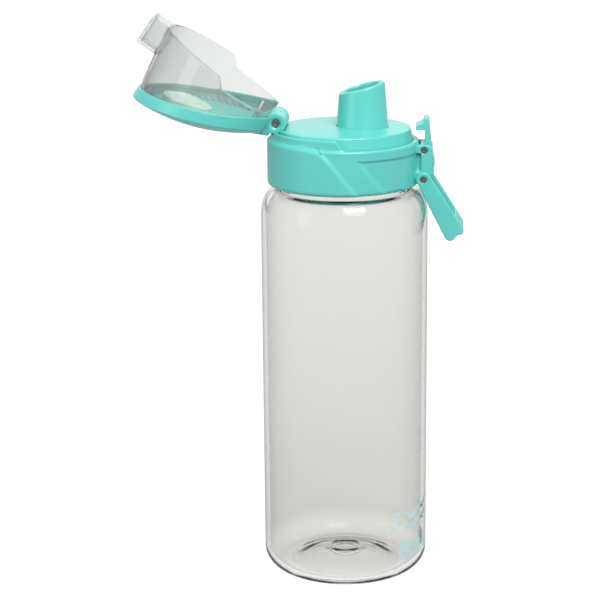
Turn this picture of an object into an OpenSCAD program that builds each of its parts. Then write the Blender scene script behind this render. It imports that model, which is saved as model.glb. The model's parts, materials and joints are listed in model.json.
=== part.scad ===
// Flip-top drinking bottle: a clear body, a screw-on lid with a slanted spout, a sprung flip
// cover with a push latch, and a carry loop. Millimetres, +Z up. The origin is the centre of
// the ring that the bottle stands on, +X points to the latch and -X to the cover's hinge.
// The cover is drawn shut and then swung to its open stop.

/* [Body] */
// Outside diameter of the body
body_d = 70; // [58:0.5:90]
// Height from the foot to the top of the shoulder
body_h = 166.6; // [130:0.2:210]
// Wall of the body
body_wall = 2; // [1.4:0.1:2.6]
// Radius of the corner between the wall and the base
base_corner_r = 8.5; // [5:0.5:11]
// Diameter of the pushed-up middle of the base
punt_d = 47; // [36:1:50]
// Height of the push-up above the foot
punt_h = 4.6; // [3:0.2:7]
// Height over which the shoulder curves in
shoulder_h = 11; // [8:0.5:15]
// How far the shoulder curves in
shoulder_in = 6; // [4:0.5:7]

/* [Neck] */
// Distance from the body's outside to the neck's outside
neck_in = 8; // [7.5:0.5:10]
// Height of the neck above the shoulder
neck_h = 18.4; // [16:0.2:24]
// Wall of the neck
neck_wall = 2.2; // [1.8:0.1:2.8]
// Rise of the thread in one turn
thread_pitch = 4; // [3.4:0.1:5]
// Turns of thread
thread_turns = 1.5; // [1:0.25:2]
// Height of the neck's thread ridge
thread_depth = 1.2; // [0.9:0.1:1.4]
// Radial gap between a ridge's crest and the wall that it faces
thread_gap = 0.4; // [0.3:0.05:0.6]

/* [Lid] */
// Gap between the shoulder and the collar
collar_gap = 1.9; // [1:0.1:3]
// Thickness of the neck gasket
gasket_t = 2; // [1.5:0.1:3]
// Wall of the threaded cap
cap_wall = 1.4; // [1.2:0.1:2]
// Wall of the collar at its middle band
collar_wall = 1.2; // [1:0.1:1.6]
// How far the raised panels stand out of the band
panel_rise = 0.9; // [0.5:0.1:1.4]
// How deep the recessed panels are
recess_depth = 0.5; // [0.3:0.1:0.7]
// Height of the step between the two rim seats
ledge_step = 4.2; // [3:0.1:6]
// Thickness of the deck
deck_t = 2; // [1.6:0.1:3]
// Rise of the deck's middle above its edge
deck_crown = 1; // [0.6:0.1:1.5]

/* [Spout] */
// Distance of the spout from the lid's axis
spout_x = 7.65; // [4:0.05:10]
// Outside radius of the spout at the deck
spout_r = 10.75; // [9:0.05:12]
// Draft of the spout's side
spout_draft = 4.4; // [2:0.1:6]
// Height of the spout on the hinge's side
spout_h_low = 14.5; // [11:0.1:18]
// Height of the spout on the latch's side
spout_h_high = 19.6; // [15:0.1:24]
// Wall of the spout
spout_wall = 2.4; // [1.8:0.1:3]

/* [Cover] */
// Angle from shut to the open stop
open_angle = 145; // [110:1:150]
// Wall of the clear dome
dome_wall = 1.4; // [1.1:0.1:2]
// How far the dome leans in by its top
dome_in = 4.9; // [3:0.1:6]
// Thickness of the cover's top plate
plate_t = 2.4; // [1.8:0.1:3]
// Depth of the top plate's rim
rim_depth = 5; // [4:0.1:6]
// Thickness of the seal's pad
seal_t = 2.6; // [2:0.1:3.5]
// Height of the cover's crown above the spout's tip
crown_over_spout = 8.7; // [7.5:0.1:12]

/* [Hinge and latch] */
// Radius of the cover's hinge pin
hinge_pin_r = 1.5; // [1.2:0.05:1.8]
// Radius of the hinge knuckles
knuckle_r = 4.4; // [3.8:0.1:5]
// Half of the hinge's width over the cover's lugs
hinge_half = 9.3; // [8:0.1:12]
// Radius of the latch and loop pins
small_pin_r = 1.35; // [1:0.05:1.6]
// Half of the width over the latch lugs
lug_half = 7.4; // [6.5:0.1:9]
// Thickness of each latch lug
lug_t = 1.9; // [1.5:0.1:2.2]
// How far the barb reaches over the keeper
barb_bite = 0.95; // [0.6:0.05:1.2]

/* [Carry loop] */
// Length from the loop's pins to its end
loop_len = 28.3; // [22:0.1:40]
// Thickness of the loop's arms
arm_t = 2.2; // [1.8:0.1:3]
// Width of the arms at the pins
arm_w = 6; // [5.4:0.1:7]
// Width of the loop at its end
end_w = 8.4; // [7:0.1:10]
// Angle that the loop hangs at, out from straight down
hang_angle = 29.6; // [26:0.1:40]

/* [Fits] */
// Radial running clearance of pins in bores
pin_gap = 0.05; // [0.02:0.01:0.1]
// Gap between faces that move past each other
part_gap = 0.3; // [0.2:0.05:0.5]

/* [Hidden] */
$fn = 96;
e = 0.01;
big = 200;

body_r = body_d / 2;
neck_r = body_r - neck_in;
neck_top = body_h + neck_h;
base_t = 2.6;
thread_z = neck_top - 3 - thread_turns * thread_pitch;
thread_under = 1.8;

cap_in = neck_r + thread_depth + thread_gap;
cap_out = cap_in + cap_wall;
band_r = cap_out + collar_wall;
panel_r = band_r + panel_rise;
recess_r = band_r - recess_depth;
lip_r = cap_out - 0.7;
lip_h = 2.4;
deck_r = cap_in + 0.1;
deck_top_r = deck_r - 1.2;
well_r = neck_r - neck_wall - 2.3;
spout_flange_r = min(spout_r + 2.6, well_r - spout_x - part_gap);
collar_z = body_h + collar_gap;
land_z = neck_top + gasket_t;
cap_seat_z = land_z - 1.7;
ledge_z = cap_seat_z + 2;
high_ledge_z = ledge_z + ledge_step;
deck_z = high_ledge_z + 0.7;
upper_r = band_r - 0.9;
step_x = -2;
step_run = 3.8;

hinge_x = -(deck_r - 0.9);
hinge_z = deck_z + 2.8;
knuckle_half = hinge_half - 3.3;
spring_half = 2.9;

mouth_tilt = atan((spout_h_high - spout_h_low)
                  / (2 * (spout_r - (spout_h_low + spout_h_high) / 2 * tan(spout_draft))));
mouth_z = deck_z + (spout_h_low + spout_h_high) / 2;

// The crown is a sphere over the hinge knuckle's top and over the spout.
crown_x = band_r - 4.9;
crown_top = deck_z + spout_h_high + crown_over_spout;
crown_run = crown_x - hinge_x;
crown_lift = crown_top - hinge_z - knuckle_r;
crown_r = (crown_run * crown_run + crown_lift * crown_lift) / (2 * crown_lift);
crown_z = crown_top - crown_r;
frame_r = band_r - 1;
frame_x = -2.5;
frame_back = hinge_x + 0.6;
frame_wall = 1.5;
rim_end = 3.2;
rim_r = band_r - 0.3;
rim_z = ledge_z + part_gap;
seal_gap = 0.15;
seal_r = spout_r - 0.15;
seal_boss_r = seal_r - 1.6;
seal_plug = 1.4;
seal_plug_r = spout_r - spout_wall - (spout_h_high) * tan(spout_draft) - 0.5;
spring_r = 2.35;
spring_wire = 0.35;
spring_leg_y = spring_half - 0.1 - spring_wire;
still_leg = 2.6;
moving_leg = 4.15;

latch_x = band_r + 2.25;
latch_z = ledge_z - 3.5;
barb_z = ledge_z + 4.6;
lug_in = lug_half - lug_t;
lug_x = latch_x + 3.35;
lug_top = latch_z + 2.2;
lever_half = lug_in - part_gap;
barrel_r = 2.5;
barb_tip = rim_r - barb_bite - latch_x;
tower_x = latch_x - 1.3;
tower_foot_x = band_r - 1.2;
tower_top = latch_z - 1.3;
latch_coil_r = 1.6;
latch_coil_z = latch_z - 6.6;
latch_wire = 0.3;
loop_x = latch_x - 0.25;
loop_z = collar_z + 3.4;
loop_half = lug_half + 0.2 + arm_t;
end_bar = 7.8;

box_half = lug_half;
box_wall = 1.1;
box_x = latch_x + 4.95;
box_top = ledge_z + 12.9;
keeper_top = barb_z - part_gap;

mint = [0.42, 0.86, 0.78];
clear = [0.86, 0.9, 0.9, 0.4];
steel = [0.55, 0.52, 0.5];
silicone = [0.82, 0.95, 0.88];

function arc(cx, cz, r, from, to, steps) =
    [for (i = [0:steps]) let (a = from + (to - from) * i / steps) [cx + r * cos(a), cz + r * sin(a)]];

// A quarter of an ellipse from its side to its top, for the shoulder.
function quarter(cx, cz, a, b, steps) =
    [for (i = [0:steps]) let (t = 90 * i / steps) [cx + a * cos(t), cz + b * sin(t)]];

// A prism of an outline in X and Z that runs through the whole part along Y.
module side_prism(points, half = big) {
    rotate([90, 0, 0]) linear_extrude(2 * half, center = true) polygon(points);
}

module y_cylinder(x, z, r, from, to) {
    translate([x, from, z]) rotate([-90, 0, 0]) cylinder(r = r, h = to - from);
}

module both_sides() {
    children();
    mirror([0, 1, 0]) children();
}

// A helical ridge with a trapezium section from foot_at to crest_at, fading out at its ends.
module helix_ridge(foot_at, crest_at, foot_w, crest_w, z0) {
    per_turn = 40;
    n = round(thread_turns * per_turn);
    fade = 5;
    points = [for (i = [0:n])
        let (a = 360 * i / per_turn, z = z0 + thread_pitch * i / per_turn,
             k = min(1, (min(i, n - i) + 0.4) / fade), top = foot_at + (crest_at - foot_at) * (0.3 + 0.7 * k))
        each [[foot_at * cos(a), foot_at * sin(a), z - foot_w / 2],
              [top * cos(a), top * sin(a), z - crest_w / 2],
              [top * cos(a), top * sin(a), z + crest_w / 2],
              [foot_at * cos(a), foot_at * sin(a), z + foot_w / 2]]];
    out = crest_at > foot_at;
    sides = [for (i = [0:n - 1], j = [0:3])
        let (a = 4 * i + j, b = 4 * i + (j + 1) % 4)
        out ? [a, b, b + 4, a + 4] : [a + 4, b + 4, b, a]];
    ends = out ? [[3, 2, 1, 0], [4 * n, 4 * n + 1, 4 * n + 2, 4 * n + 3]]
               : [[0, 1, 2, 3], [4 * n + 3, 4 * n + 2, 4 * n + 1, 4 * n]];
    polyhedron(points, concat(sides, ends), convexity = 6);
}

// Round wire along a path that never runs parallel to the coil's axis.
module wire(path, axis, wire_r) {
    last = len(path) - 1;
    m = 6;
    points = [for (i = [0:last])
        let (t = path[min(i + 1, last)] - path[max(i - 1, 0)], side = cross(t, axis), u = side / norm(side),
             up = cross(u, t), v = up / norm(up))
        for (j = [0:m - 1]) path[i] + wire_r * (cos(360 * j / m) * u + sin(360 * j / m) * v)];
    sides = [for (i = [0:last - 1], j = [0:m - 1])
        let (a = m * i + j, b = m * i + (j + 1) % m) [a, b, b + m, a + m]];
    ends = [[for (j = [m - 1:-1:0]) j], [for (j = [0:m - 1]) m * last + j]];
    polyhedron(points, concat(sides, ends), convexity = 8);
}

module swung_open() {
    translate([hinge_x, 0, hinge_z]) rotate([0, -open_angle, 0]) translate([-hinge_x, 0, -hinge_z])
        children();
}

// ---------- bottle ----------

module body_outline(inset) {
    r = body_r - inset;
    corner = base_corner_r - inset;
    neck = neck_r - (inset > 0 ? neck_wall : 0);
    floor_z = inset > 0 ? base_t : 0;
    top = body_h - inset;
    polygon(concat(
        inset > 0 ? [[0, floor_z + punt_h], [punt_d / 2 - 3, floor_z + 0.5]] : [[0, 0]],
        arc(r - corner, floor_z + corner, corner, -90, 0, 8),
        quarter(r - shoulder_in, top - shoulder_h, shoulder_in, shoulder_h, 10),
        [[neck, top], [neck, neck_top + (inset > 0 ? 1 : 0)], [0, neck_top + (inset > 0 ? 1 : 0)]]));
}

module bottle_body() color(clear) {
    difference() {
        union() {
            rotate_extrude() body_outline(0);
            helix_ridge(neck_r - 0.3, neck_r + thread_depth, 2.2, 0.9, thread_z);
        }
        rotate_extrude() body_outline(body_wall);
        translate([0, 0, -e]) cylinder(r1 = punt_d / 2, r2 = 6, h = punt_h);
    }
}

// ---------- lid ----------

module neck_gasket() color(silicone) {
    translate([0, 0, neck_top]) difference() {
        cylinder(r = cap_in - part_gap, h = gasket_t);
        translate([0, 0, -1]) cylinder(r = neck_r - neck_wall - part_gap, h = gasket_t + 2);
    }
}

module spout_cone(extra, from, to) {
    k = tan(spout_draft);
    translate([spout_x, 0, from]) cylinder(r1 = spout_r + extra - (from - deck_z) * k,
                                           r2 = spout_r + extra - (to - deck_z) * k, h = to - from);
}

module lid_cap() color(mint) {
    difference() {
        union() {
            difference() {
                union() {
                    translate([0, 0, collar_z + lip_h + 0.1])
                        cylinder(r = cap_out, h = cap_seat_z - collar_z - lip_h - 0.1);
                    translate([0, 0, cap_seat_z - e]) cylinder(r = deck_r, h = ledge_z - cap_seat_z + e);
                    intersection() {
                        translate([0, 0, ledge_z - e])
                            cylinder(r1 = deck_r, r2 = deck_top_r, h = deck_z + deck_crown - ledge_z);
                        deck_dome();
                    }
                }
                translate([0, 0, collar_z]) cylinder(r = cap_in, h = land_z - collar_z);
                translate([0, 0, collar_z]) cylinder(r = well_r, h = deck_z - deck_t - collar_z);
            }
            helix_ridge(cap_in + 0.3, neck_r + thread_gap + 0.1, 2.2, 0.9, thread_z - thread_under);
        }
        spout_cone(pin_gap, deck_z - 10, deck_z + 10);
        hinge_pocket();
    }
}

module deck_dome() {
    dome_r = (deck_top_r * deck_top_r + deck_crown * deck_crown) / (2 * deck_crown);
    translate([0, 0, deck_z + deck_crown - dome_r]) sphere(r = dome_r, $fn = 240);
}

// Room for the hinge's knuckles in the deck.
module hinge_pocket() {
    half = hinge_half + 0.5;
    y_cylinder(hinge_x, hinge_z, knuckle_r + part_gap, -half, half);
    translate([hinge_x - 10, -half, hinge_z - knuckle_r - part_gap]) cube([10, 2 * half, 20]);
}

module collar_ring(r, top, round_top) {
    corner = band_r - lip_r;
    rotate_extrude() polygon(concat(
        [[lip_r, collar_z]],
        arc(r - corner, collar_z + corner, corner, -90, 0, 6),
        [[r, top - round_top], [r - round_top, top], [lip_r, top]]));
}

module collar_panel() {
    slope = 0.8;
    intersection() {
        collar_ring(panel_r, high_ledge_z - 2.9, 1.2);
        side_prism([[-big, collar_z - 1], [-8.5 + slope * (ledge_z - collar_z + 1.6), collar_z - 1],
                    [-8.5, ledge_z + 0.6], [-10, ledge_z + 2], [-big, ledge_z + 2]]);
    }
}

module collar_recess() {
    difference() {
        side_prism([[9, ledge_z - 5], [9.6, ledge_z - 4.4], [big, ledge_z - 4.4],
                    [big, collar_z - 1], [19.2, collar_z - 1], [8.6, ledge_z - 6.1]]);
        translate([0, 0, collar_z - 2]) cylinder(r = recess_r, h = 40);
    }
}

module latch_lug_plate() {
    translate([0, lug_in, 0]) rotate([90, 0, 0]) translate([0, 0, -lug_t]) linear_extrude(lug_t) union() {
        polygon([[band_r - 3, loop_z - 1.6], [loop_x, loop_z - 3.1], [loop_x + 2.6, loop_z - 1.5],
                 [lug_x, loop_z + 2.4], [lug_x, lug_top - 1.2], [lug_x - 1.2, lug_top], [band_r - 3, lug_top]]);
        translate([loop_x, loop_z]) circle(r = 3.1);
    }
}

module latch_lugs() {
    difference() {
        both_sides() latch_lug_plate();
        // The windows between the collar and the lugs' posts.
        side_prism([[tower_foot_x, latch_z - 9], [tower_x, latch_z - 9],
                    [tower_x, tower_top], [tower_foot_x, tower_top]]);
    }
}

// A wall between the lugs that the latch spring stands on.
module spring_tower() {
    difference() {
        side_prism([[tower_foot_x, collar_z + 2], [tower_x, collar_z + 3.5],
                    [tower_x, tower_top], [tower_foot_x, tower_top]], lug_in + e);
        y_cylinder(latch_x, latch_z, barrel_r + part_gap, -lug_half, lug_half);
    }
}

// The knuckle for the cover's pin, on a web that stands on the collar's flange.
module hinge_knuckle() {
    deck_edge = -deck_r - pin_gap;
    web_z = high_ledge_z - 2;
    web_x = hinge_x - 2.4;
    y_cylinder(hinge_x, hinge_z, knuckle_r, -knuckle_half, knuckle_half);
    side_prism([[web_x, web_z], [deck_edge, web_z], [deck_edge, hinge_z],
                [hinge_x - knuckle_r + 0.6, hinge_z - 1.6]], knuckle_half);
}

// The chamber in the knuckle for the spring, a notch for its still leg and a slot for its moving leg.
module spring_chamber() {
    leg_room = spring_wire + 0.15;
    chamber_r = spring_r + leg_room;
    slot_r = knuckle_r + 0.5;
    slot_low = [-3, -6.5];
    slot_high = [5, 8.6];
    far = 20;
    y_cylinder(hinge_x, hinge_z, chamber_r, -spring_half, spring_half);
    translate([hinge_x - chamber_r, spring_leg_y - leg_room, hinge_z - still_leg - 0.2])
        cube([2 * leg_room, 2 * leg_room, still_leg]);
    difference() {
        y_cylinder(hinge_x, hinge_z, slot_r, -spring_leg_y - leg_room, -spring_leg_y + leg_room);
        translate([hinge_x, 0, hinge_z])
            side_prism([[0, 0], slot_high, [far, 0], [far, -far], [slot_low[0], -far], slot_low]);
    }
}

// The outer ring with its flange, panels and latch lugs, before the pins' bores.
module collar_shell() {
    difference() {
        union() {
            collar_ring(band_r, ledge_z, 0.6);
            collar_panel();
            translate([0, 0, cap_seat_z]) cylinder(r = band_r - 0.8, h = ledge_z - cap_seat_z - e);
            intersection() {
                translate([0, 0, ledge_z - e]) cylinder(r = upper_r, h = ledge_step + e);
                side_prism([[-big, ledge_z - 1], [step_x + step_run, ledge_z - 1],
                            [step_x + step_run, ledge_z], [step_x, high_ledge_z], [-big, high_ledge_z]]);
            }
        }
        collar_recess();
        y_cylinder(latch_x, latch_z, barrel_r + part_gap, -lug_in, lug_in);
    }
    spring_tower();
    latch_lugs();
}

module collar_hollow() {
    translate([0, 0, collar_z - 5]) cylinder(r = deck_r + pin_gap, h = 50);
    translate([0, 0, collar_z + lip_h]) cylinder(r = cap_out + pin_gap, h = cap_seat_z - collar_z - lip_h);
    both_sides() y_cylinder(hinge_x, hinge_z, knuckle_r + 0.4, knuckle_half - e, hinge_half + 0.5);
}

module lid_collar() color(mint) {
    difference() {
        union() {
            difference() {
                collar_shell();
                collar_hollow();
            }
            hinge_knuckle();
        }
        spring_chamber();
        y_cylinder(hinge_x, hinge_z, hinge_pin_r + pin_gap, -20, 20);
        y_cylinder(latch_x, latch_z, small_pin_r + pin_gap, -20, 20);
        y_cylinder(loop_x, loop_z, small_pin_r + pin_gap, -20, 20);
    }
}

// Everything under the slanted mouth.
module under_mouth() {
    translate([spout_x, 0, mouth_z]) rotate([0, -mouth_tilt, 0]) translate([-60, -60, -100])
        cube([120, 120, 100]);
}

module spout() color(mint) {
    flange_z = deck_z - deck_t - 2;
    bore_r = spout_r - spout_wall;
    k = tan(spout_draft);
    difference() {
        union() {
            intersection() {
                spout_cone(0, flange_z, deck_z + spout_h_high + 2);
                under_mouth();
            }
            translate([spout_x, 0, flange_z]) cylinder(r = spout_flange_r, h = 2 - pin_gap);
        }
        translate([spout_x, 0, flange_z - 1])
            cylinder(r1 = bore_r + (deck_z - flange_z + 1) * k, r2 = bore_r - (spout_h_high + 3) * k,
                     h = deck_z - flange_z + spout_h_high + 4);
    }
}

// ---------- cover, drawn shut ----------

module crown_ball(less) {
    translate([crown_x, 0, crown_z]) sphere(r = crown_r - less, $fn = 240);
}

module crown_band(depth) {
    difference() {
        crown_ball(0);
        crown_ball(depth);
    }
}

module frame_plan(inset) {
    translate([frame_x, 0, ledge_z]) cylinder(r = frame_r - inset, h = 60);
}

module in_front_of(x) {
    translate([x, -big, 0]) cube([2 * big, 2 * big, 3 * big]);
}

module frame_arms() {
    x = hinge_x;
    z = hinge_z;
    k = knuckle_r;
    both_sides() {
        y_cylinder(x, z, k, knuckle_half + part_gap, hinge_half);
        translate([0, (knuckle_half + part_gap + hinge_half) / 2, 0])
            side_prism([[x - 0.3, z], [x - 0.3, z + k + 1.7], [x + 0.5, z + k + 2], [x + 8, z + k + 5.7],
                        [x + 8, z + 4.6], [x + k, z]], (hinge_half - knuckle_half - part_gap) / 2);
    }
}

// A boss under the plate that carries the seal, square to the spout's mouth.
module seal_boss() {
    intersection() {
        mouth_place(seal_gap + seal_t) cylinder(r = seal_boss_r, h = 20);
        crown_ball(plate_t / 2);
    }
}

module mouth_place(lift) {
    translate([spout_x, 0, mouth_z]) rotate([0, -mouth_tilt, 0]) translate([0, 0, lift]) children();
}

module cover_frame() color(mint) swung_open() {
    difference() {
        union() {
            intersection() {
                frame_plan(0);
                crown_band(plate_t);
                in_front_of(frame_back);
            }
            intersection() {
                difference() {
                    frame_plan(0);
                    frame_plan(frame_wall);
                }
                crown_band(rim_depth);
                in_front_of(frame_back);
                translate([0, 0, high_ledge_z + part_gap]) cylinder(r = big, h = big);
            }
            frame_arms();
            seal_boss();
        }
        y_cylinder(hinge_x, hinge_z, hinge_pin_r + pin_gap, -20, 20);
        both_sides() y_cylinder(hinge_x, hinge_z, hinge_pin_r + 0.9, hinge_half - 0.5, hinge_half + 1);
        both_sides() translate([hinge_x - 10, hinge_half + e, 0]) cube([10 + rim_end, big, big + big]);
        y_cylinder(hinge_x, hinge_z, knuckle_r + 0.5, -knuckle_half - part_gap + e, knuckle_half + part_gap - e);
        translate([hinge_x - 10, -knuckle_half - part_gap + e, hinge_z])
            cube([12, 2 * (knuckle_half + part_gap - e), 20]);
    }
}

// The dome's outline, leaning in towards its top.
module dome_turned(inset) {
    top = crown_top - rim_z;
    steps = 7;
    rotate_extrude() polygon(concat([[0, ledge_z - 2], [rim_r - inset, ledge_z - 2]],
        [for (i = [0:steps]) let (t = i / steps) [rim_r - inset - dome_in * pow(t, 1.6), rim_z + top * t]],
        [[0, crown_top]]));
}

// What is cut away round the hinge, grown by the wall for the dome's inside.
module hinge_notch(grow) {
    translate([-big, -big, 0]) cube([big + hinge_x + rim_end + grow, 2 * big, 3 * big]);
    translate([-big, -hinge_half - 0.5 - grow, 0])
        cube([big + hinge_x + 8.3 + grow, 2 * (hinge_half + 0.5 + grow), 3 * big]);
}

module dome_outside() {
    difference() {
        union() {
            intersection() {
                dome_turned(0);
                crown_ball(rim_depth + pin_gap);
            }
            intersection() {
                dome_turned(0);
                frame_plan(frame_wall + pin_gap);
                crown_ball(plate_t);
            }
            translate([rim_r - 8, -box_half, rim_z])
                cube([box_x - rim_r + 8, 2 * box_half, box_top - rim_z]);
        }
        hinge_notch(0);
    }
}

module dome_inside() {
    flange_in = 2.6;
    difference() {
        union() {
            intersection() {
                dome_turned(dome_wall);
                crown_ball(plate_t + 1.2);
            }
            intersection() {
                dome_turned(dome_wall + flange_in);
                translate([0, 0, ledge_z]) cylinder(r = band_r, h = 60);
            }
        }
        hinge_notch(dome_wall);
    }
    translate([rim_r - 9, box_wall - box_half, ledge_z - 3])
        cube([box_x - box_wall - rim_r + 9, 2 * (box_half - box_wall), box_top - box_wall - ledge_z + 3]);
}

module keeper_bar() {
    intersection() {
        difference() {
            cylinder(r = rim_r, h = keeper_top);
            translate([0, 0, -1]) cylinder(r = rim_r - dome_wall, h = keeper_top + 2);
        }
        translate([0, e - box_half + box_wall / 2, rim_z])
            cube([big, 2 * box_half - box_wall, keeper_top - rim_z]);
    }
}

module cover_dome() color(clear) swung_open() {
    difference() {
        union() {
            difference() {
                dome_outside();
                dome_inside();
            }
            keeper_bar();
        }
        side_prism([[-big, ledge_z - 10], [big, ledge_z - 10], [big, rim_z], [step_x + step_run + 0.5, rim_z],
                    [step_x + 0.5, high_ledge_z + part_gap], [-big, high_ledge_z + part_gap]]);
        cylinder(r = deck_r + part_gap, h = deck_z + deck_crown + part_gap);
    }
}

module cover_seal() color(silicone) swung_open() {
    mouth_place(seal_gap) cylinder(r = seal_r, h = seal_t);
    mouth_place(seal_gap - seal_plug) cylinder(r1 = seal_plug_r - 0.5, r2 = seal_plug_r, h = seal_plug + e);
}

module cover_hinge_pin() color(steel)
    y_cylinder(hinge_x, hinge_z, hinge_pin_r, 0.3 - hinge_half, hinge_half - 0.3);

// A torsion spring in the knuckle: its still leg stands in the notch, the other lifts the cover.
module cover_spring() color(steel) {
    from = 180;
    to = -90 - 360 * 4;
    steps = 84;
    path = concat(
        [[-spring_r, spring_leg_y, -still_leg]],
        [for (i = [0:steps]) let (a = from + (to - from) * i / steps)
            [spring_r * cos(a), spring_leg_y - 2 * spring_leg_y * i / steps, spring_r * sin(a)]],
        [[-moving_leg, -spring_leg_y, -spring_r]]);
    translate([hinge_x, 0, hinge_z]) wire(path, [0, 1, 0], spring_wire);
}

// ---------- latch ----------

module latch_lever() color(mint) translate([latch_x, 0, latch_z]) {
    b = barb_z - latch_z;
    difference() {
        union() {
            rotate([90, 0, 0]) linear_extrude(2 * lever_half, center = true)
                polygon([[barb_tip, b], [barb_tip, b + 1.6], [-0.3, b + 3.2], [-0.3, b + 4.2], [0.2, b + 4.8],
                         [1.4, b + 4.8], [1.9, b + 4.2], [2, b + 2.4], [2.9, 1.4], [3.7, -3.2], [4.3, -5.6],
                         [4.35, -6.6], [3.7, -8.2], [4, -9.4], [4, -11], [3.6, -12.4], [2.4, -12.4],
                         [2, -3], [-0.4, 0], [0.1, 3], [0.25, b]]);
            y_cylinder(0, 0, barrel_r, -lever_half, lever_half);
        }
        y_cylinder(0, 0, small_pin_r + pin_gap, -20, 20);
    }
}

module latch_pin() color(steel)
    y_cylinder(latch_x, latch_z, small_pin_r, 0.1 - lug_half, lug_half - 0.1);

module latch_spring() color(steel) {
    from = tower_x + 0.35;
    to = latch_x + 1.8;
    turns = 2.5;
    steps = 45;
    path = [for (i = [0:steps]) let (a = 360 * turns * i / steps)
        [from + (to - from) * i / steps, latch_coil_r * cos(a), latch_coil_z + latch_coil_r * sin(a)]];
    wire(path, [1, 0, 0], latch_wire);
}

// ---------- carry loop ----------

module loop_outline() {
    r = arm_w / 2;
    corner = 2.4;
    side = end_w / 2 - corner;
    rotate([90, 0, 0]) linear_extrude(2 * loop_half, center = true) polygon(concat(
        arc(0, 0, r, 0, 180, 16),
        arc(-side, corner - loop_len, corner, 180, 270, 5),
        arc(side, corner - loop_len, corner, 270, 360, 5)));
}

module carry_loop() color(mint) translate([loop_x, 0, loop_z]) rotate([0, -hang_angle, 0])
    difference() {
        loop_outline();
        translate([-10, -lug_half - 0.2, -loop_len + end_bar]) cube([20, 2 * (lug_half + 0.2), loop_len]);
        y_cylinder(1, -loop_len - 2.9, 3.7, -20, 20);
        y_cylinder(0, 0, small_pin_r + pin_gap, -20, 20);
    }

module loop_pins() color(steel) both_sides()
    y_cylinder(loop_x, loop_z, small_pin_r, lug_in + 0.1, loop_half - 0.1);

bottle_body();
neck_gasket();
lid_cap();
lid_collar();
spout();
cover_frame();
cover_dome();
cover_seal();
cover_hinge_pin();
cover_spring();
latch_lever();
latch_pin();
latch_spring();
carry_loop();
loop_pins();
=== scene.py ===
"""A clear drinking bottle with a mint lid, a slanted spout, a flip cover and a carry loop.

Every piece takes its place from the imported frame. Lengths are metres, written as a number of
millimetres times MM.
"""

import bpy
import json
import math
from mathutils import Matrix, Vector


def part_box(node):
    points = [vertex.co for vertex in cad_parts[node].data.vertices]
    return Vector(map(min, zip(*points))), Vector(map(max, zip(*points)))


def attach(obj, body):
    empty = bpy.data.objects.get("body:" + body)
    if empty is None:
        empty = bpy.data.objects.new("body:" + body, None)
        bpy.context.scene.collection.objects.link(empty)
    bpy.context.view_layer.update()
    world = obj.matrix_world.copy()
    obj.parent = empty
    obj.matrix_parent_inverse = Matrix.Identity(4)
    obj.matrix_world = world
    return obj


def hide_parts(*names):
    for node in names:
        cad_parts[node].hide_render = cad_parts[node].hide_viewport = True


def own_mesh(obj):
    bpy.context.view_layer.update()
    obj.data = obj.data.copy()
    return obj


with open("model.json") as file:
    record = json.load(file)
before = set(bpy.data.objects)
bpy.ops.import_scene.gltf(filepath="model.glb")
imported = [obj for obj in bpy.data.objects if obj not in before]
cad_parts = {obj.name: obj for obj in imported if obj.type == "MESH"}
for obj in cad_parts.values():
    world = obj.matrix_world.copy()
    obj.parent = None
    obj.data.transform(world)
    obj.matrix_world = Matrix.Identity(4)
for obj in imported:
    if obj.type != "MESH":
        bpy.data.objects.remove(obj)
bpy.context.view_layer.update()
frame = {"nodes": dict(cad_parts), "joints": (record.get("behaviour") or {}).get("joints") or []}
nodes = frame["nodes"]
joint_at = {joint["name"]: Vector(joint.get("pos_m", (0, 0, 0))) for joint in frame["joints"]}

MM = 0.001
DEG = math.pi / 180


# ---------- camera and studio ----------

def aim_camera():
    """A long lens, a little above the lid, almost square to the hinge's side view."""
    swung = 2.917 * DEG
    away = 847.1 * MM
    height = 338.7 * MM
    down = 14.604 * DEG
    looks_left = 1.281 * DEG
    leans = -0.518 * DEG
    camera_data = bpy.data.cameras.new("camera")
    camera_data.sensor_width = 36
    camera_data.lens = 123.58
    camera_data.clip_end = 40
    camera = bpy.data.objects.new("camera", camera_data)
    bpy.context.scene.collection.objects.link(camera)
    level = Matrix.Rotation(swung + looks_left, 4, "Z") @ Matrix.Rotation(90 * DEG - down, 4, "X")
    place = Vector((away * math.sin(swung), -away * math.cos(swung), height))
    camera.matrix_world = Matrix.Translation(place) @ level @ Matrix.Rotation(leans, 4, "Z")
    bpy.context.scene.camera = camera


def soft_light(name, place, target, size, power):
    light_data = bpy.data.lights.new(name, "AREA")
    light_data.shape = "RECTANGLE"
    light_data.size = size[0]
    light_data.size_y = size[1]
    light_data.energy = power
    light = bpy.data.objects.new(name, light_data)
    bpy.context.scene.collection.objects.link(light)
    aim = (Vector(target) - Vector(place)).to_track_quat("-Z", "Y")
    light.matrix_world = Matrix.Translation(place) @ aim.to_matrix().to_4x4()


def light_the_studio():
    """A big softbox over the front, a white wall behind and a weak one at the left."""
    lid = (0, 0, 0.19)
    soft_light("light_key", (0.3, -0.75, 1.2), lid, (0.6, 0.5), 14.5)
    soft_light("light_back", (0.1, 1.8, 1.0), lid, (3.6, 1.5), 11)
    soft_light("light_side", (-1.2, -0.8, 0.5), lid, (0.5, 0.9), 3)
    world = bpy.data.worlds.new("studio")
    world.use_nodes = True
    sky = world.node_tree.nodes["Background"]
    sky.inputs["Color"].default_value = (1, 1, 1, 1)
    sky.inputs["Strength"].default_value = 0.5
    bpy.context.scene.world = world
    bpy.context.scene.view_settings.view_transform = "Standard"


aim_camera()
light_the_studio()


# ---------- shader maths ----------

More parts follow.
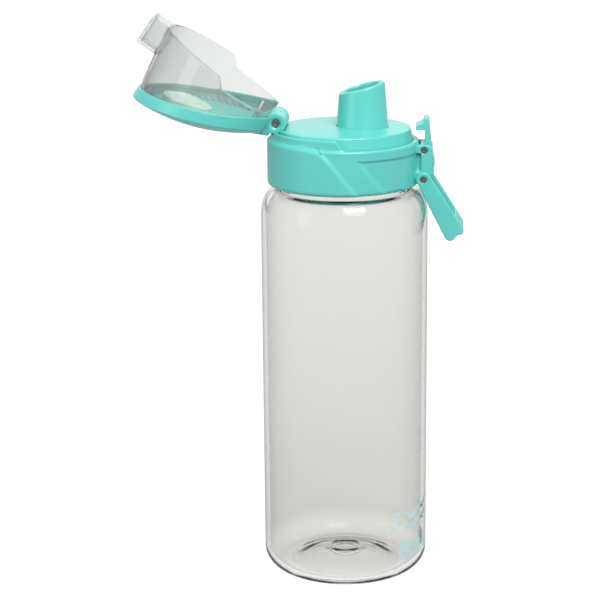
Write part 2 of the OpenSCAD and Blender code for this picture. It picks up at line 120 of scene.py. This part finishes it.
class Shade:
    """A node's output, with the usual operators for numbers."""

    tree = None

    def __init__(self, socket):
        self.socket = socket

    @classmethod
    def node(cls, kind, settings=None, values=None, out=0):
        """A node of this kind: its settings first, then the values or links of its inputs."""
        made = cls.tree.nodes.new(kind)
        for key, value in (settings or {}).items():
            setattr(made, key, value)
        for key, value in (values or {}).items():
            if isinstance(value, Shade):
                cls.tree.links.new(value.socket, made.inputs[key])
            else:
                made.inputs[key].default_value = value
        return cls(made.outputs[out])

    @classmethod
    def maths(cls, operation, first, second=0.0):
        return cls.node("ShaderNodeMath", {"operation": operation}, {0: first, 1: second})

    def __add__(self, other):
        return Shade.maths("ADD", self, other)

    def __mul__(self, other):
        return Shade.maths("MULTIPLY", self, other)

    __radd__ = __add__
    __rmul__ = __mul__


def new_material(name):
    material = bpy.data.materials.new(name)
    material.use_nodes = True
    Shade.tree = material.node_tree
    return material, material.node_tree.nodes["Principled BSDF"]


def plug(shader, name, value):
    Shade.tree.links.new(value.socket, shader.inputs[name])


def noise(scale, detail=2.0, roughness=0.5, stretch=(1, 1, 1)):
    place = Shade.node("ShaderNodeTexCoord", out="Object")
    spread = Shade.node("ShaderNodeMapping", {}, {"Vector": place, "Scale": stretch})
    return Shade.node("ShaderNodeTexNoise", {},
                      {"Vector": spread, "Scale": scale, "Detail": detail, "Roughness": roughness})


def blended(factor, first, second):
    """One colour turning into another; each is a colour or the output of another blend."""
    first, second = (c if isinstance(c, Shade) else (*c, 1) for c in (first, second))
    return Shade.node("ShaderNodeMix", {"data_type": "RGBA"}, {0: factor, 6: first, 7: second},
                      out=2)


def rising(low, high):
    """From 0 at one height to 1 at another."""
    place = Shade.node("ShaderNodeTexCoord", out="Object")
    height = Shade.node("ShaderNodeSeparateXYZ", {}, {0: place}, out="Z")
    return Shade.node("ShaderNodeMapRange", {},
                      {"Value": height, "From Min": low, "From Max": high})


def slant():
    """0 on a wall that is seen square on, near 1 where it turns away and its path is long."""
    return Shade.node("ShaderNodeLayerWeight", {}, {"Blend": 0.5}, out="Facing")


def bumped(height, strength, distance):
    return Shade.node("ShaderNodeBump", {},
                      {"Height": height, "Strength": strength, "Distance": distance})


# ---------- finishes ----------

def mint_plastic():
    """Moulded polypropylene: satin, with faint flow marks and a very fine grain."""
    material, shader = new_material("mint_plastic")
    flow = noise(34, 3, stretch=(1, 1, 2.5))
    grain = noise(2400, 2)
    plug(shader, "Base Color", blended(flow, (0.105, 0.615, 0.545), (0.125, 0.655, 0.585)))
    plug(shader, "Roughness", flow * 0.08 + 0.3)
    plug(shader, "Normal", bumped(grain, 0.08, 0.05 * MM))
    shader.inputs["Subsurface Weight"].default_value = 0.2
    shader.inputs["Subsurface Radius"].default_value = (0.4, 1.0, 0.9)
    shader.inputs["Subsurface Scale"].default_value = 1.0 * MM
    shader.inputs["Specular IOR Level"].default_value = 0.7
    shader.inputs["Coat Weight"].default_value = 0.2
    shader.inputs["Coat Roughness"].default_value = 0.3
    return material


def clear_plastic(name, tint, rough, bend, clear):
    """Clear copolyester: a faint draw in the wall and tiny scuffs under a glossy skin.

    The tint deepens where the wall turns away: partly the longer path through the wall, partly
    painted shade that draws the dark outline.
    """
    material, shader = new_material(name)
    scuffs = noise(420, 4, 0.6)
    draw = noise(60, 1, stretch=(1, 1, 0.12))
    outline_shade_and_long_way = Shade.maths("POWER", slant(), 3)
    colour = tint() if callable(tint) else tint
    # painted shade along the outline, partly the longer path: the colour turns to dark grey where
    # the wall turns away from view
    plug(shader, "Base Color", blended(outline_shade_and_long_way, colour, (0.22, 0.22, 0.215)))
    plug(shader, "Roughness", scuffs * 0.03 + rough)
    plug(shader, "Normal", bumped(draw, 0.04, 0.3 * MM))
    shader.inputs["Transmission Weight"].default_value = clear
    shader.inputs["IOR"].default_value = bend
    shader.inputs["Coat Weight"].default_value = 0.12
    shader.inputs["Coat Roughness"].default_value = 0.03
    return material


def body_tint_and_painted_base_light():
    """Smoky and a little deeper low down, with painted light in the base: its tint is paler there to
    stand in for light coming through under the bottle.
    """
    wall = blended(rising(10 * MM, 165 * MM), (0.752, 0.752, 0.732), (0.832, 0.832, 0.816))
    # painted light: below 13 mm the tint turns paler, for the light coming through the base
    return blended(rising(6 * MM, 13 * MM), (0.89, 0.89, 0.87), wall)


def silicone():
    material, shader = new_material("seal_silicone")
    dust = noise(300, 4, 0.6)
    plug(shader, "Base Color", blended(dust, (0.60, 0.88, 0.72), (0.68, 0.92, 0.80)))
    plug(shader, "Roughness", dust * 0.15 + 0.45)
    shader.inputs["Subsurface Weight"].default_value = 0.3
    shader.inputs["Subsurface Radius"].default_value = (1, 1, 1)
    shader.inputs["Subsurface Scale"].default_value = 1 * MM
    return material


def pin_steel():
    """Plain steel wire, cut and tumbled: dull, with fine pits."""
    material, shader = new_material("pin_steel")
    pits = noise(1500, 5, 0.7)
    plug(shader, "Base Color", blended(pits, (0.13, 0.125, 0.11), (0.27, 0.26, 0.235)))
    plug(shader, "Roughness", pits * 0.25 + 0.34)
    plug(shader, "Normal", bumped(pits, 0.25, 0.1 * MM))
    shader.inputs["Metallic"].default_value = 0.85
    return material


def print_ink():
    """Thin screen ink, with the pinholes and uneven film that it dries to."""
    material, shader = new_material("print_ink")
    film = noise(900, 4, 0.65)
    plug(shader, "Base Color", blended(film, (0.66, 0.90, 0.93), (0.76, 0.96, 0.97)))
    plug(shader, "Alpha", film * 0.25 + 0.6)
    plug(shader, "Roughness", film * 0.2 + 0.35)
    return material


def floor_paint():
    material, shader = new_material("floor_paint")
    plug(shader, "Base Color", blended(noise(2, 1), (0.15, 0.15, 0.15), (0.17, 0.17, 0.17)))
    shader.inputs["Roughness"].default_value = 0.7
    shader.inputs["Emission Color"].default_value = (1, 1, 1, 1)
    shader.inputs["Emission Strength"].default_value = 0.93
    return material


MINT = mint_plastic()
BODY_CLEAR = clear_plastic("body_clear", body_tint_and_painted_base_light, 0.01, 1.2, 1)
COVER_CLEAR = clear_plastic("cover_clear", (0.80, 0.815, 0.805), 0.03, 1.25, 0.87)
SILICONE = silicone()
STEEL = pin_steel()
INK = print_ink()


# ---------- making pieces ----------

def only(*objects):
    """Leaves just these objects selected, the first one active."""
    bpy.ops.object.select_all(action="DESELECT")
    for item in objects:
        item.select_set(True)
    bpy.context.view_layer.objects.active = objects[0]


def edit(item, select="SELECT"):
    only(item)
    bpy.ops.object.mode_set(mode="EDIT")
    bpy.ops.mesh.select_all(action=select)


def done():
    bpy.ops.object.mode_set(mode="OBJECT")


def add_modifier(item, kind, **settings):
    modifier = item.modifiers.new(kind.lower(), kind)
    for key, value in settings.items():
        setattr(modifier, key, value)


def settle(item, smooth_angle=35):
    """Applies the piece's modifiers and its place, and shades it."""
    only(item)
    for modifier in list(item.modifiers):
        bpy.ops.object.modifier_apply(modifier=modifier.name)
    bpy.ops.object.transform_apply(location=True, rotation=True, scale=True)
    bpy.ops.object.shade_smooth_by_angle(angle=smooth_angle * DEG)


def hand_over(item, name, material, body, node=None):
    """Names the piece, paints it and gives it to the frame."""
    item.name = name
    item.data.materials.clear()
    item.data.materials.append(material)
    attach(item, body)
    if node:
        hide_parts(node)
    return item


def primitive(kind, location=(0, 0, 0), **settings):
    """A primitive with its place and turn already in its mesh."""
    bpy.ops.object.select_all(action="DESELECT")
    getattr(bpy.ops.mesh, f"primitive_{kind}_add")(location=location, **settings)
    bpy.ops.object.transform_apply(location=True, rotation=True, scale=True)
    return bpy.context.object


def turned(profile, middle=(0, 0), sides=160):
    """Turns an outline of (radius, height) points round an upright axis, ring after ring.

    The outline closes on itself. A first or last point on the axis becomes a pole.
    """
    least = 0.02 * MM
    rings = [(max(r, least), z) for r, z in profile]
    item = primitive("circle", vertices=sides, radius=rings[0][0], location=(*middle, rings[0][1]))
    edit(item)
    for (r0, z0), (r1, z1) in zip(rings, rings[1:] + rings[:1]):
        bpy.ops.mesh.extrude_region_move(TRANSFORM_OT_translate={"value": (0, 0, z1 - z0)})
        bpy.ops.transform.resize(value=(r1 / r0, r1 / r0, 1), center_override=(*middle, z1))
    bpy.ops.mesh.select_all(action="SELECT")
    bpy.ops.mesh.remove_doubles(threshold=0.004 * MM)
    bpy.ops.mesh.normals_make_consistent(inside=False)
    done()
    return item


def close_ends(item):
    """Caps the open ends of a tube or ridge and turns its faces outwards."""
    edit(item)
    bpy.ops.mesh.fill_holes(sides=0)
    bpy.ops.mesh.select_all(action="SELECT")
    bpy.ops.mesh.normals_make_consistent(inside=False)
    done()


def arc(middle, radius, start, end, steps, tall=None):
    """Points on a round corner, or on an ellipse where it is given a height of its own."""
    tall = radius if tall is None else tall
    angles = [(start + (end - start) * n / steps) * DEG for n in range(steps + 1)]
    return [(middle[0] + radius * math.cos(a), middle[1] + tall * math.sin(a)) for a in angles]


def moulded(name, node, voxel, rounds, material, body):
    """The CAD solid with its edges eased, as it comes out of a mould."""
    only(nodes[node])
    bpy.ops.object.duplicate()
    piece = bpy.context.object
    for key in list(piece.keys()):
        del piece[key]
    piece.parent = None
    edit(piece)
    bpy.ops.mesh.remove_doubles(threshold=0.001 * MM)
    done()
    add_modifier(piece, "REMESH", mode="VOXEL", voxel_size=voxel, use_smooth_shade=True)
    add_modifier(piece, "SMOOTH", factor=0.5, iterations=rounds)
    settle(piece, 180)
    return hand_over(piece, name, material, body, node)


# ---------- collar's relief ----------

collar_low, collar_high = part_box("lid_collar")
PANEL_RISE = 0.9 * MM
BAND_R = collar_high.y - PANEL_RISE
COLLAR_Z = collar_low.z
LEDGE_Z = 187.3 * MM
FOOT_ROUND = 1.9 * MM
UPPER_R = BAND_R - 0.9 * MM
RECESS_DEPTH = 0.7 * MM
LEDGE_ROUND = 0.6 * MM
PANEL_TOP_X = -8.5 * MM
LATCH_SIDE_X = 25 * MM
FLARE = 0.8


def from_line(x, z, low, high):
    """Distance of a point from a line, above zero on the right of it."""
    run = Vector((high[0] - low[0], high[1] - low[1])).normalized()
    return run.y * (x - low[0]) - run.x * (z - low[1])


def soft_step(distance, width):
    """0 to 1 across a slope of this width, rounded at its head and foot."""
    t = min(1, max(0, distance / width + 0.5))
    return t * t * (3 - 2 * t)


def round_corner(first, second, size):
    """The smaller of two distances, with their corner rounded."""
    near = max(size - abs(first - second), 0) / size
    return min(first, second) - near * near * size / 4


def in_panel(x, z):
    """1 on the raised panel by the hinge, 0 off it."""
    foot = (PANEL_TOP_X + FLARE * (LEDGE_Z - COLLAR_Z + 1.6 * MM), COLLAR_Z - 1 * MM)
    head = (PANEL_TOP_X, LEDGE_Z + 0.6 * MM)
    below_top = LEDGE_Z + 1.3 * MM - z
    return soft_step(round_corner(-from_line(x, z, foot, head), below_top, 7 * MM), 2.4 * MM)


def in_recess(x, z):
    """1 in the recess by the latch, 0 out of it."""
    foot = (19.2 * MM, COLLAR_Z - 1 * MM)
    head = (8.6 * MM, LEDGE_Z - 6.1 * MM)
    return min(soft_step(from_line(x, z, foot, head), 2.2 * MM),
               soft_step(LEDGE_Z - 4.4 * MM - z, 0.8 * MM))


def rounded_in(distance, radius):
    """How far a rounded edge has turned in at this distance past its start."""
    past = min(max(0, distance), radius)
    return radius - math.sqrt(radius * radius - past * past)


def shape_collar(collar):
    """Gives the panels of the moulded collar their long slopes."""
    for point in collar.data.vertices:
        x, y, z = point.co
        away = math.hypot(x, y)
        tuck = rounded_in(COLLAR_Z + FOOT_ROUND - z, FOOT_ROUND)
        on_face = away > BAND_R - 1.1 * MM - tuck and x < LATCH_SIDE_X
        radius = away
        if on_face and COLLAR_Z + 0.3 * MM < z < LEDGE_Z - LEDGE_ROUND:
            radius = BAND_R + PANEL_RISE * in_panel(x, z) - RECESS_DEPTH * in_recess(x, z) - tuck
        elif z >= LEDGE_Z - LEDGE_ROUND and x < -8.3 * MM and away > UPPER_R + 0.15 * MM:
            step = rounded_in(z - LEDGE_Z + LEDGE_ROUND, LEDGE_ROUND)
            base = UPPER_R if z > LEDGE_Z else BAND_R - step
            radius = base + (away - base) * in_panel(x, z)
        point.co.x *= radius / away
        point.co.y *= radius / away


# ---------- bottle ----------

body_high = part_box("bottle_body")[1]
BODY_R = body_high.y
NECK_TOP = body_high.z
NECK_R = BODY_R - 8 * MM
NECK_WALL = 2.2 * MM
SHOULDER_TOP = NECK_TOP - 18.4 * MM
SHOULDER_H = 11 * MM
SHOULDER_IN = 6 * MM
BODY_WALL = 2 * MM
FLOOR = 2.6 * MM
CORNER = 8.5 * MM
PUNT_R = 23.5 * MM
PUNT_H = 4.6 * MM
RING_R = 6 * MM


def underside():
    """From the moulding mark in the middle, down the pushed-up base to the standing ring."""
    return [(0, PUNT_H - 0.2 * MM), (1.3 * MM, PUNT_H - 0.2 * MM), (1.6 * MM, PUNT_H + 0.3 * MM),
            (RING_R - 0.9 * MM, PUNT_H + 0.3 * MM), (RING_R - 0.2 * MM, PUNT_H - 0.5 * MM),
            (RING_R + 0.6 * MM, PUNT_H - 0.1 * MM),
            (PUNT_R - 0.9 * MM, 0.5 * MM), (PUNT_R, 0)]


def wall_outline():
    corner_at = (BODY_R - CORNER, CORNER)
    shoulder_at = (BODY_R - SHOULDER_IN, SHOULDER_TOP - SHOULDER_H)
    inner_top = SHOULDER_TOP - BODY_WALL
    inner_shoulder = (shoulder_at[0] - BODY_WALL, inner_top - SHOULDER_H)
    outside = (arc(corner_at, CORNER, -90, 0, 14)
               + arc(shoulder_at, SHOULDER_IN, 0, 90, 16, SHOULDER_H)
               + [(NECK_R + 0.8 * MM, SHOULDER_TOP), (NECK_R, SHOULDER_TOP + 0.8 * MM),
                  (NECK_R, NECK_TOP - 0.5 * MM), (NECK_R - 0.5 * MM, NECK_TOP)])
    neck_in = NECK_R - NECK_WALL
    inside = ([(neck_in + 0.5 * MM, NECK_TOP), (neck_in, NECK_TOP - 0.5 * MM),
               (neck_in, inner_top + 0.9 * MM), (neck_in + 0.9 * MM, inner_top)]
              + arc(inner_shoulder, SHOULDER_IN, 90, 0, 16, SHOULDER_H)
              + arc((corner_at[0], FLOOR + CORNER - BODY_WALL), CORNER - BODY_WALL, 0, -90, 14))
    rise = FLOOR + PUNT_H
    middle = [(PUNT_R - 3 * MM, FLOOR + 0.5 * MM), (RING_R + 1.2 * MM, rise - 0.5 * MM),
              (RING_R + 0.2 * MM, rise + 0.3 * MM), (RING_R - 0.8 * MM, rise - 0.1 * MM),
              (0, rise - 0.1 * MM)]
    return underside() + outside + inside + middle


def neck_thread():
    """A ridge that climbs the neck, a turn and a half of it."""
    pitch = 4 * MM
    turns = 1.5
    start = NECK_TOP - 3 * MM - turns * pitch
    foot = NECK_R - 0.1 * MM
    ridge = primitive("plane", size=2 * MM, location=(foot, 0, start), rotation=(90 * DEG, 0, 0))
    for corner in ridge.data.vertices:
        outer = corner.co.x > foot
        rise = 0.45 * MM if outer else 1.1 * MM
        corner.co.x = foot + (1.3 * MM if outer else 0)
        corner.co.z = start + math.copysign(rise, corner.co.z - start)
    add_modifier(ridge, "SCREW", axis="Z", angle=turns * 360 * DEG, screw_offset=turns * pitch,
                 steps=int(turns * 72), render_steps=int(turns * 72), use_merge_vertices=False)
    settle(ridge)
    close_ends(ridge)
    return ridge


def make_body():
    body = turned(wall_outline(), sides=192)
    settle(body, 40)
    ridge = neck_thread()
    only(body, ridge)
    bpy.ops.object.join()
    hand_over(body, "body", BODY_CLEAR, "bottle", "bottle_body")


# ---------- print on the body ----------

def wrapped(item, name, height):
    """Lays a flat drawing of (distance round, height) points on the wall, beside the loop."""
    film = 0.05 * MM
    middle = -27 * DEG
    radius = BODY_R + 0.02 * MM
    for point in item.data.vertices:
        around = middle + point.co.x / BODY_R
        point.co = (radius * math.cos(around), radius * math.sin(around), height + point.co.y)
    add_modifier(item, "SOLIDIFY", thickness=film, offset=1)
    settle(item)
    return hand_over(item, name, INK, "bottle")


def wave_line(name, height, thick, rise, half_angle):
    """A line that swells and dips along the wall."""
    length = 2 * half_angle * DEG * BODY_R
    wave = 15 * MM
    item = primitive("grid", x_subdivisions=180, y_subdivisions=2, size=1)
    for point in item.data.vertices:
        along = point.co.x * length
        ends = max(0.0, 1 - abs(2 * point.co.x) ** 8)
        swell = thick * (0.65 + 0.35 * math.cos(2 * math.pi * along / wave + 1.2)) * ends ** 0.5
        middle = rise * math.sin(2 * math.pi * along / wave)
        point.co = (along, middle + point.co.y * swell, 0)
    return wrapped(item, name, height)


def drop_row(height, drop_r, spacing, count):
    """Drops with round bellies and pointed tops, side by side."""
    for number in range(count):
        item = primitive("circle", vertices=40, radius=drop_r, fill_type="NGON")
        edit(item)
        bpy.ops.mesh.inset(thickness=drop_r * 0.3)
        bpy.ops.mesh.subdivide(number_cuts=1)
        done()
        shift = (number - (count - 1) / 2) * spacing
        for point in item.data.vertices:
            x, y = point.co.x, point.co.y
            if y > 0:
                x *= max(0, 1 - (y / drop_r) ** 2) ** 0.5
                y *= 1.8
            point.co = (x + shift, y, 0)
        wrapped(item, f"print_drop_{number + 1}", height)


def make_print():
    wave_line("print_wave_upper", 30 * MM, 2.8 * MM, 1.7 * MM, 28)
    wave_line("print_wave_lower", 25 * MM, 2.8 * MM, 1.7 * MM, 28)
    drop_row(13.5 * MM, 3.3 * MM, 9 * MM, 3)


# ---------- spout ----------

def make_spout():
    """A cone with a slanted mouth: turned, cut, bridged over its rim and rounded."""
    low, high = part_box("spout")
    axis_x = (low.x + high.x) / 2
    draft = math.tan(4.4 * DEG)
    deck_z = low.z + 4 * MM
    flange_r = (high.x - low.x) / 2
    flange_t = 1.95 * MM
    wall = 2.4 * MM
    tilt = 15.1 * DEG
    lip = 1.05 * MM
    foot_r = 10.75 * MM
    tip_z = high.z
    over = tip_z + 3 * MM

    def side(z, inwards=0):
        return foot_r - inwards - (z - deck_z) * draft

    flange_z = low.z + flange_t
    profile = [(flange_r, low.z), (flange_r, flange_z), (side(flange_z), flange_z),
               (side(over), over), (side(over, wall), over), (side(low.z, wall), low.z)]
    spout = turned(profile, (axis_x, 0), 128)
    edit(spout)
    mouth = (axis_x + side(tip_z), 0, tip_z)
    slope = (-math.sin(tilt), 0, math.cos(tilt))
    bpy.ops.mesh.bisect(plane_co=mouth, plane_no=slope, clear_outer=True)
    bpy.ops.mesh.select_all(action="DESELECT")
    bpy.ops.mesh.select_mode(type="VERT")
    bpy.ops.mesh.select_non_manifold()
    bpy.ops.mesh.bridge_edge_loops()
    bpy.ops.mesh.select_all(action="SELECT")
    bpy.ops.mesh.normals_make_consistent(inside=False)
    done()
    add_modifier(spout, "BEVEL", width=lip, segments=6, limit_method="ANGLE",
                 angle_limit=50 * DEG)
    settle(spout, 30)
    hand_over(spout, "spout_piece", MINT, "lid", "spout")


# ---------- pins ----------

def pin(name, node, low, high, body="lid"):
    """A steel pin across the part, with chamfered ends and a shallow dimple in each."""
    radius = (high.z - low.z) / 2
    middle = (low + high) / 2
    item = primitive("cylinder", vertices=48, radius=radius, depth=high.y - low.y,
                     end_fill_type="NGON", location=middle, rotation=(90 * DEG, 0, 0))
    edit(item, "DESELECT")
    bpy.ops.mesh.select_mode(type="FACE")
    done()
    for face in item.data.polygons:
        face.select = abs(face.normal.y) > 0.9
    only(item)
    bpy.ops.object.mode_set(mode="EDIT")
    bpy.ops.mesh.inset(thickness=0.22 * MM, depth=0)
    bpy.ops.mesh.inset(thickness=radius * 0.35, depth=0, use_individual=True)
    bpy.ops.mesh.inset(thickness=radius * 0.1, depth=-0.12 * MM, use_individual=True)
    done()
    add_modifier(item, "BEVEL", width=0.16 * MM, segments=3, limit_method="ANGLE",
                 angle_limit=50 * DEG)
    settle(item, 40)
    return hand_over(item, name, STEEL, body, node)


def make_pins():
    pin("hinge_pin", "cover_hinge_pin", *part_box("cover_hinge_pin"))
    pin("latch_pin_piece", "latch_pin", *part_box("latch_pin"))
    low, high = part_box("loop_pins")
    inner = 5.6 * MM
    pin("loop_pin_left", "loop_pins", low, Vector((high.x, -inner, high.z)))
    pin("loop_pin_right", "loop_pins", Vector((low.x, inner, low.z)), high)


# ---------- springs ----------

def coil(wire_r, coil_r, turns, along, length, start_angle):
    """A round wire wound about an axis through the origin."""
    on_y = along == "Y"
    across = Vector((math.cos(start_angle * DEG), 0, math.sin(start_angle * DEG))) * coil_r
    place = across if on_y else Vector((0, across.x, across.z))
    facing = (0, -start_angle * DEG, 0) if on_y else (0, 90 * DEG, start_angle * DEG)
    ring = primitive("circle", vertices=14, radius=wire_r, location=place, rotation=facing)
    steps = int(turns * 32)
    add_modifier(ring, "SCREW", axis=along, angle=turns * 360 * DEG, screw_offset=length,
                 steps=steps, render_steps=steps, use_merge_vertices=False)
    settle(ring)
    return ring


def moved(item, place):
    item.location = place
    only(item)
    bpy.ops.object.transform_apply(location=True)


def extrude_end(item, along, toward, near):
    """Pulls the open ring that lies nearest to a point out into a straight leg."""
    edit(item, "DESELECT")
    bpy.ops.mesh.select_mode(type="VERT")
    bpy.ops.mesh.select_non_manifold()
    done()
    reach = 1.2 * MM
    for point in item.data.vertices:
        point.select = point.select and (point.co - Vector(near)).length < reach
    only(item)
    bpy.ops.object.mode_set(mode="EDIT")
    bpy.ops.mesh.select_mode(type="VERT")
    bpy.ops.mesh.extrude_region_move(TRANSFORM_OT_translate={"value": tuple(Vector(toward) * along)})
    bpy.ops.mesh.edge_face_add()
    done()


def make_cover_spring():
    """Almost five turns inside the knuckle, with one leg in the lid and one under the cover."""
    hinge = joint_at["cover_hinge"]
    wire_r = 0.35 * MM
    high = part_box("cover_spring")[1]
    coil_r = 2.35 * MM
    leg_y = high.y - wire_r
    turns = 4.75
    still_leg = 2.6 * MM
    moving_leg = 4.15 * MM
    wound = coil(wire_r, coil_r, turns, "Y", -2 * leg_y, 180)
    moved(wound, hinge + Vector((0, leg_y, 0)))
    extrude_end(wound, still_leg, (0, 0, -1), hinge + Vector((-coil_r, leg_y, 0)))
    close_ends(wound)
    hand_over(wound, "cover_spring_coil", STEEL, "lid", "cover_spring")
    middle = hinge + Vector((-moving_leg / 2, -leg_y, -coil_r))
    leg = primitive("cylinder", vertices=14, radius=wire_r, depth=moving_leg,
                    location=middle, rotation=(0, 90 * DEG, 0))
    add_modifier(leg, "BEVEL", width=0.12 * MM, segments=2, limit_method="ANGLE",
                 angle_limit=50 * DEG)
    settle(leg, 60)
    hand_over(leg, "cover_spring_leg", STEEL, "cover", "cover_spring")


def make_latch_spring():
    low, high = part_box("latch_spring")
    middle = (low + high) / 2
    wire_r = 0.3 * MM
    coil_r = (high.z - low.z) / 2 - wire_r
    length = high.x - low.x - 2 * wire_r
    wound = coil(wire_r, coil_r, 2.5, "X", length, 90)
    moved(wound, (low.x + wire_r, 0, middle.z))
    close_ends(wound)
    hand_over(wound, "latch_spring_coil", STEEL, "lid", "latch_spring")
    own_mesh(wound)


make_body()
make_print()
make_spout()
make_pins()
make_cover_spring()
make_latch_spring()

collar = moulded("collar", "lid_collar", 0.37 * MM, 5, MINT, "lid")
shape_collar(collar)
moulded("cap", "lid_cap", 0.42 * MM, 4, MINT, "lid")
moulded("cover_plate", "cover_frame", 0.34 * MM, 6, MINT, "cover")
moulded("cover_skirt", "cover_dome", 0.37 * MM, 2, COVER_CLEAR, "cover")
moulded("latch_hook", "latch_lever", 0.16 * MM, 5, MINT, "latch")
moulded("loop", "carry_loop", 0.22 * MM, 8, MINT, "loop")
moulded("seal_pad", "cover_seal", 0.2 * MM, 6, SILICONE, "cover")
moulded("gasket", "neck_gasket", 0.25 * MM, 5, SILICONE, "gasket")


# ---------- floor ----------

def lay_floor():
    floor = primitive("plane", size=30)
    floor.name = "floor"
    floor.visible_diffuse = False
    floor.visible_glossy = False
    floor.data.materials.append(floor_paint())


lay_floor()
